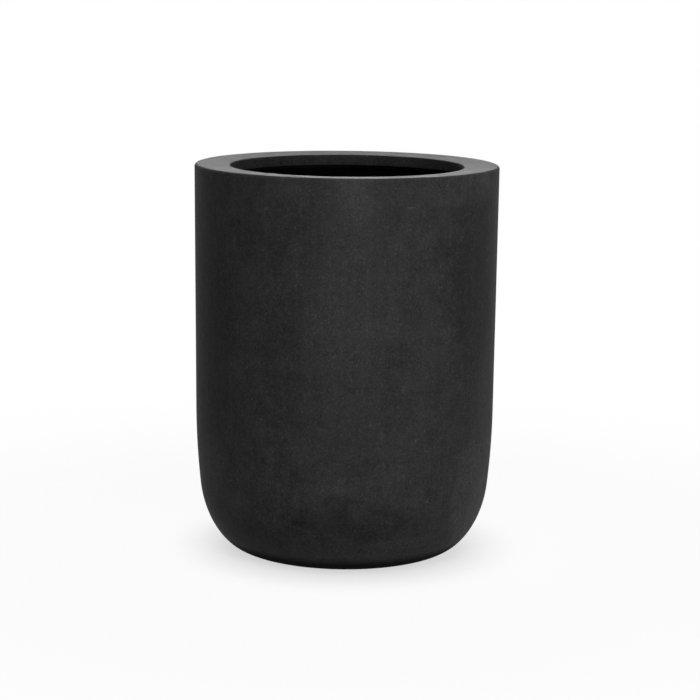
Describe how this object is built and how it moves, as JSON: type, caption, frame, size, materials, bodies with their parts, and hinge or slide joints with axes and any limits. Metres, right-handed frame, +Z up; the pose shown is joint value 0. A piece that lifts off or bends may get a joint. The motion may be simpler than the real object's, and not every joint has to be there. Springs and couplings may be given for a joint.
{
  "type": "tall round floor planter",
  "caption": "Tall round floor planter in charcoal glass-fibre laminate, with a rounded foot, a wide rim dished towards the mouth, a turned-down collar and a drain plug.",
  "frame": {"origin": "on the floor, at the centre of the planter's foot, on its own axis", "axes": "+Z up along the planter's axis of turning; it is round, so +X and +Y are only the directions between which the first foot pad stands"},
  "size_m": [0.42, 0.42, 0.54],
  "materials": {
    "charcoal_laminate": "matt charcoal mineral face coat with a fine pale grain, faint vertical streaks and soft mottling",
    "resin_paste": "black-pigmented filled resin bonding paste, rough and slightly uneven",
    "black_rubber": "moulded matt black rubber"
  },
  "bodies": {
    "planter": {"body_shell": "charcoal_laminate", "rim_ring": "charcoal_laminate", "rim_bond": "resin_paste", "foot_pad_1": "black_rubber", "foot_pad_2": "black_rubber", "foot_pad_3": "black_rubber", "foot_pad_4": "black_rubber"},
    "drain_plug": {"drain_plug": "black_rubber"}
  },
  "joints": [
    {"name": "drain_plug_lift", "type": "slide", "parent": "planter", "child": "drain_plug", "axis": [0, 0, 1], "range_m": [0, 0.57]}
  ]
}
